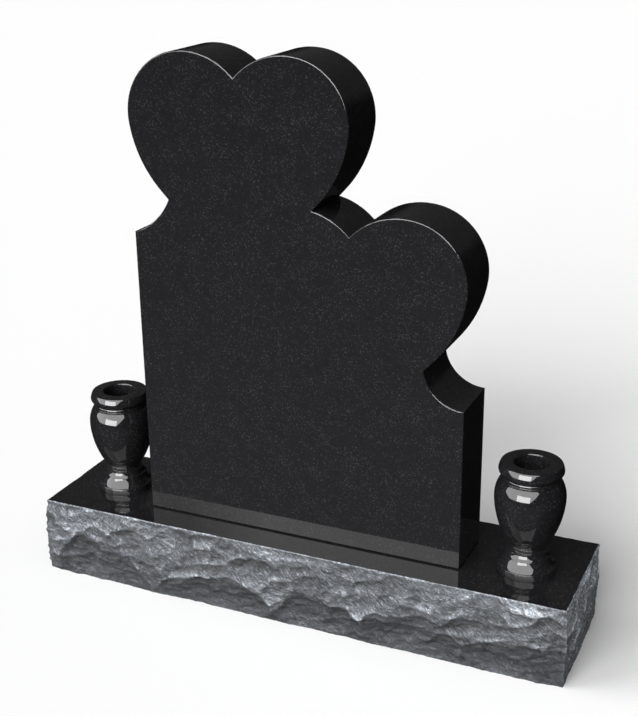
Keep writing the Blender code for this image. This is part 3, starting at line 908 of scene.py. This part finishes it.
def rimProfile():
    # From the bore's floor up its wall, over the brim, down the leaning band and in under the roll
    v = vaseShape
    top = v["height"]
    lip = turnedArc((v["boreRadius"] + v["lipRadius"], top - v["lipRadius"]),
                    v["lipRadius"], v["lipRadius"], pi, pi / 2, vaseSteps["lip"])
    brim = radians(v["brimLean"])
    high, low = [radians(lean) for lean in v["bandLeans"]]
    bandFoot = top - v["brimDrop"] - v["brimRound"] * (sin(brim) - sin(high)) - v["bandHeight"]
    rimFoot = top - v["rimHeight"]
    width = v["rollWidth"]
    rollHeight = width
    for _ in range(20):  # the roll's height and where it meets the band settle each other
        start = atan2(rollHeight * sin(low), width * cos(low))
        rollHeight = (bandFoot - rimFoot) / (1 + sin(start))
    roll = turnedArc((v["rimRadius"] - width, rimFoot + rollHeight), width, rollHeight, start, -pi / 2,
                     vaseSteps["roll"])
    bandRound = v["bandHeight"] / (sin(high) - sin(low))
    bandX = roll[0][0] - bandRound * cos(low)
    bandZ = roll[0][1] - bandRound * sin(low)
    band = turnedArc((bandX, bandZ), bandRound, bandRound, high, low, vaseSteps["band"])
    brimX = band[0][0] - v["brimRound"] * cos(high)
    brimZ = band[0][1] - v["brimRound"] * sin(high)
    edge = turnedArc((brimX, brimZ), v["brimRound"], v["brimRound"], brim, high, vaseSteps["brim"])
    bore = [(0.0, top - v["boreDepth"]), (v["boreRadius"], top - v["boreDepth"])]
    return bore + lip + edge + band[1:] + roll[1:]


def collarProfile():
    # Neck, leaning ring, groove, narrow listel and the belly's seat
    v = vaseShape
    ringTop = v["height"] - v["rimHeight"] - v["neckHeight"]
    ringFoot = ringTop - v["ringHeight"]
    lean = tan(radians(v["ringLean"]))
    listelTop = ringFoot - v["grooveHeight"]
    listelFoot = listelTop - v["listelHeight"]
    shoulder = listelFoot - v["seatHeight"]
    return [(v["neckRadius"], ringTop), (v["ringRadius"] - lean * v["ringHeight"], ringTop),
            (v["ringRadius"], ringFoot), (v["grooveRadius"], ringFoot), (v["grooveRadius"], listelTop),
            (v["listelRadius"] - lean * v["listelHeight"], listelTop), (v["listelRadius"], listelFoot),
            (v["seatRadius"], listelFoot), (v["seatRadius"], shoulder)]


def vaseProfile():
    v = vaseShape
    collar = collarProfile()
    middle = v["bellyHeight"]
    rise = (collar[-1][1] - middle) / sqrt(1 - (v["shoulderRadius"] / v["bellyRadius"]) ** 2)
    start = atan2((collar[-1][1] - middle) / rise, v["shoulderRadius"] / v["bellyRadius"])
    belly = turnedArc((0, middle), v["bellyRadius"], rise, start, 0, vaseSteps["shoulder"])
    waist = (v["waistRadius"], v["waistHeight"])
    belly += bowedLine(belly[-1], waist, (0, v["waistLean"]), v["bellyPulls"], vaseSteps["belly"])[1:]
    bead = turnedArc((waist[0], waist[1] - v["beadHeight"] / 2), v["beadProud"], v["beadHeight"] / 2,
                     pi / 2, -pi / 2, vaseSteps["bead"])[1:]
    easeOut, easeDown = v["filletEase"]
    fillet = [(waist[0], v["filletHeight"] + easeDown), (waist[0] + easeOut, v["filletHeight"]),
              (v["filletRadius"], v["filletHeight"])]
    upper = bowedLine((v["filletRadius"], v["filletHeight"] - v["filletBand"]),
                      (v["stepRadius"], v["stepHeight"]), v["upperLeans"], v["upperPulls"],
                      vaseSteps["upper"])
    stepFoot = v["stepHeight"] - v["stepBand"]
    lower = bowedLine((v["lowerTop"], stepFoot), (v["footRadius"] - v["footLand"], v["footWall"]),
                      v["lowerLeans"], v["lowerPulls"], vaseSteps["lower"])
    chamfer = v["footChamfer"]
    edge = v["edge"]
    foot = [(v["footRadius"] - chamfer, v["footWall"]), (v["footRadius"], v["footWall"] - chamfer)]
    foot += turnedArc((v["footRadius"] - edge, edge), edge, edge, 0, -pi / 2, vaseSteps["foot"])
    foot.append((0.0, 0.0))
    coves = upper + [(v["stepRadius"], stepFoot)] + lower
    return rimProfile() + collar + belly + bead + fillet + coves + foot


def buildVase(name, node, polish):
    low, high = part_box(node)
    centre = Vector(((low.x + high.x) / 2, (low.y + high.y) / 2, low.z))
    profile = vaseProfile()
    bpy.ops.object.select_all(action="DESELECT")
    bpy.ops.mesh.primitive_circle_add(vertices=len(profile), fill_type="NOTHING")
    piece = bpy.context.object
    piece.name = name
    setPoints(piece, [centre + Vector((radius, 0, height)) for radius, height in profile])
    last = len(profile) - 1
    selectEdges(piece, lambda edge: set(edge.vertices) == {0, last})
    bpy.ops.mesh.delete(type="EDGE")
    bpy.ops.mesh.select_all(action="SELECT")
    bpy.ops.mesh.spin(steps=vaseShape["sides"], angle=2 * pi, center=centre, axis=(0, 0, 1))
    bpy.ops.mesh.select_all(action="SELECT")
    bpy.ops.mesh.remove_doubles(threshold=vaseShape["merge"][0])
    bpy.ops.mesh.normals_make_consistent(inside=False)
    bpy.ops.object.mode_set(mode="OBJECT")
    applyModifier(piece, "BEVEL", width=vaseShape["edge"], segments=2, limit_method="ANGLE",
                  angle_limit=radians(vaseShape["sharpAngle"]))
    bpy.ops.object.mode_set(mode="EDIT")
    bpy.ops.mesh.select_all(action="SELECT")
    bpy.ops.mesh.remove_doubles(threshold=vaseShape["merge"][1])
    bpy.ops.object.mode_set(mode="OBJECT")
    bpy.ops.object.shade_smooth_by_angle(angle=radians(vaseShape["smoothAngle"]))
    piece.data.materials.append(polish)
    standFor(piece, node)
    print(name + ":", len(piece.data.polygons), "faces")
    return piece


# Floor, lights and surroundings
studio = {
    "floorSize": 60.0,
    "floorDrop": 0.0003,        # below the stone's underside, so that the two don't flicker
    "floorColour": (0.86, 0.86, 0.86, 1),
    "floorRoughness": 0.9,
    "spread": 45,               # degrees across, so that shadows are soft
    "skyLight": 0.19,
    "rightLight": 0.30,
    "underLight": 0.06,
    "reflectedDark": 0.006,
    "frontGlow": 0.12,          # the floor before the stone, as its polish shows it
    "frontFade": (0.2, 0.7),    # from the side to straight in front
    "frontUp": (-4, -26),
    "backGlow": 0.045,
    "backFade": (-0.2, -0.5),
    "backUp": (4, 12),
    "twiceSeen": (-0.14, 1.0),  # left and right, where base and tablet mirror each other
    "twiceAcross": (-31, -27),
    "panelLight": 5.7,
    "coreLight": 16.5,
}
# Heights above level and headings from straight in front, in degrees, with strengths
keyLights = {"frontKey": (22, -8, 4.55), "leftKey": (35, -65, 2.15)}

# Directions in degrees from straight in front of the tablet, to the right and up
panel = {"left": -73, "right": 14, "lean": 1.1, "limit": 45, "bottom": -1.5, "bend": -56, "rise": 0.4,
         "top": 74, "soft": 1.2}
core = {"left": -28, "right": 13, "lean": 0.15, "limit": 45, "bottom": -0.5, "bend": -56, "rise": 0.4,
        "top": 17.5, "soft": 1.0}


def softboxGroup():
    # 1 inside a leaning rectangle of directions, 0 outside
    group, entry, leave = newGroup(
        "softbox",
        [("Across", "Float", 0), ("Up", "Float", 0), ("Left", "Float", -10), ("Right", "Float", 10),
         ("Lean", "Float", 0), ("Limit", "Float", 90), ("Bottom", "Float", 0), ("Bend", "Float", -90),
         ("Rise", "Float", 0), ("Top", "Float", 10), ("Soft", "Float", 1)],
        [("Mask", "Float")])
    aside = addMath(group, "MULTIPLY", entry["Up"], entry["Lean"])
    leant = addMath(group, "SUBTRACT", entry["Across"], aside)
    bent = addMath(group, "SUBTRACT", entry["Across"], entry["Bend"])
    lifted = addMath(group, "MULTIPLY_ADD", bent, entry["Rise"], entry["Up"])
    mask = None
    for value, limit, sign in ((entry["Across"], entry["Left"], 1), (leant, entry["Right"], -1),
                               (entry["Across"], entry["Limit"], -1), (lifted, 0.0, 1),
                               (entry["Up"], entry["Bottom"], 1), (entry["Up"], entry["Top"], -1)):
        gap = addMath(group, "MULTIPLY", addMath(group, "SUBTRACT", value, limit), float(sign))
        inside = addMath(group, "DIVIDE", gap, entry["Soft"])
        inside = addMath(group, "ADD", inside, 0.5, clamp=True)
        mask = inside if mask is None else addMath(group, "MULTIPLY", mask, inside)
    group.links.new(mask, leave["Mask"])
    return group


def addWorld():
    world = bpy.data.worlds.new("studioRoom")
    bpy.context.scene.world = world
    world.use_nodes = True
    tree = world.node_tree
    tree.nodes.clear()
    way = addNode(tree, "ShaderNodeTexCoord").outputs["Generated"]
    parts = addNode(tree, "ShaderNodeSeparateXYZ", {"Vector": way}).outputs
    toFront = addMath(tree, "MULTIPLY", parts["Y"], -1.0)
    across = addMath(tree, "DEGREES", addMath(tree, "ARCTAN2", parts["X"], toFront))
    up = addMath(tree, "DEGREES", addMath(tree, "ARCSINE", parts["Z"]))
    box = softboxGroup()
    light = studio["reflectedDark"]
    coreMore = studio["coreLight"] - studio["panelLight"]
    for shape, strength in ((panel, studio["panelLight"]), (core, coreMore)):
        mask = addNode(tree, "ShaderNodeGroup", node_tree=box)
        tree.links.new(across, mask.inputs["Across"])
        tree.links.new(up, mask.inputs["Up"])
        for label in ("left", "right", "lean", "limit", "bottom", "bend", "rise", "top", "soft"):
            mask.inputs[label.title()].default_value = shape[label]
        light = addMath(tree, "MULTIPLY_ADD", mask.outputs["Mask"], strength, light)
    for side in ("front", "back"):
        glow = addRange(tree, toFront, *studio[side + "Fade"], 0.0, studio[side + "Glow"], smooth=True)
        light = addMath(tree, "MULTIPLY_ADD", glow, addRange(tree, up, *studio[side + "Up"]), light)
    rays = addNode(tree, "ShaderNodeLightPath").outputs
    twice = addMath(tree, "GREATER_THAN", rays["Glossy Depth"], 1.5)
    gain = addRange(tree, across, *studio["twiceAcross"], *studio["twiceSeen"])
    more = addMath(tree, "MULTIPLY_ADD", twice, gain, 1.0)
    light = addMath(tree, "MULTIPLY", light, more)
    sky = addRange(tree, up, -1.0, 1.0, studio["underLight"], studio["skyLight"])
    level = addMath(tree, "SUBTRACT", 1.0, addMath(tree, "ABSOLUTE", parts["Z"]))
    fromRight = addMath(tree, "MULTIPLY", addMath(tree, "MAXIMUM", parts["X"], 0.0), level)
    sky = addMath(tree, "MULTIPLY_ADD", fromRight, studio["rightLight"], sky)
    seen = addMix(tree, rays["Is Glossy Ray"], sky, light)
    seen = addMix(tree, rays["Is Camera Ray"], seen, (1, 1, 1, 1))
    background = addNode(tree, "ShaderNodeBackground", {"Color": seen})
    output = addNode(tree, "ShaderNodeOutputWorld")
    tree.links.new(background.outputs[0], output.inputs["Surface"])


def addStudio():
    bpy.ops.object.select_all(action="DESELECT")
    bpy.ops.mesh.primitive_plane_add(size=studio["floorSize"], location=(0, 0, -studio["floorDrop"]))
    floor = bpy.context.object
    floor.name = "studioFloor"
    fixPlace(floor)
    material, _, shader = newMaterial("paleFloor")
    shader.inputs["Base Color"].default_value = studio["floorColour"]
    shader.inputs["Roughness"].default_value = studio["floorRoughness"]
    shader.inputs["Specular IOR Level"].default_value = 0.0
    floor.data.materials.append(material)
    floor.visible_glossy = False
    floor.visible_diffuse = False

    for name, (up, heading, strength) in keyLights.items():
        bpy.ops.object.light_add(type="SUN", rotation=(radians(90 - up), 0, radians(heading)))
        key = bpy.context.object
        key.name = name
        key.data.energy = strength
        key.data.angle = radians(studio["spread"])
        key.visible_glossy = False
    addWorld()
    bpy.context.scene.view_settings.view_transform = "Standard"


grain = graniteGrainGroup()
polish = polishedGranite(grain)
rock = rockGranite(grain)
sawn = sawnGranite(grain)
print("materials ready")
addCamera()
buildBase(polish, rock, sawn)
buildTablet(polish)
buildVase("leftVase", "vase_left", polish)
buildVase("rightVase", "vase_right", polish)
addStudio()
print("studio ready")
